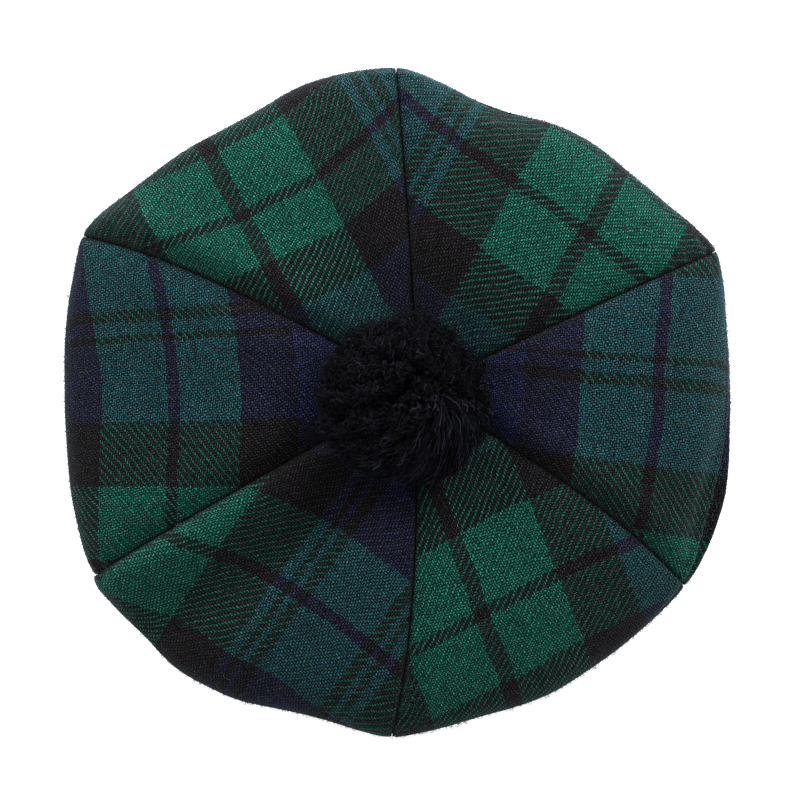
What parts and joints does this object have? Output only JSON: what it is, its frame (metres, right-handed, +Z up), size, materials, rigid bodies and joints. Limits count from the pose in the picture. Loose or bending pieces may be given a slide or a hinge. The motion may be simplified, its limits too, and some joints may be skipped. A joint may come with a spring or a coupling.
{
  "type": "tam o shanter",
  "caption": "Soft flat round bonnet of petal-shaped tartan wool gores on a headband, with a large wool pompom at the crown's centre.",
  "frame": {"origin": "on the ground plane, below the middle of the bonnet's bounding box", "axes": "+Z up out of the crown through the pompom, +Y towards the seam between gore_6 and gore_1, +X to the wearer's right when that seam is at the front"},
  "size_m": [0.2903, 0.2901, 0.094],
  "materials": {
    "tartan_wool": "matt twill-woven wool in dark green, navy and black checks, a little fuzzy",
    "band_wool": "matt twill-woven dark wool, stitched flat",
    "pompom_wool": "near-black navy knitting wool, cut and curled strands"
  },
  "bodies": {
    "root": {"gore_1": "tartan_wool", "gore_2": "tartan_wool", "gore_3": "tartan_wool", "gore_4": "tartan_wool", "gore_5": "tartan_wool", "gore_6": "tartan_wool", "headband": "band_wool", "pompom": "pompom_wool"}
  },
  "joints": []
}
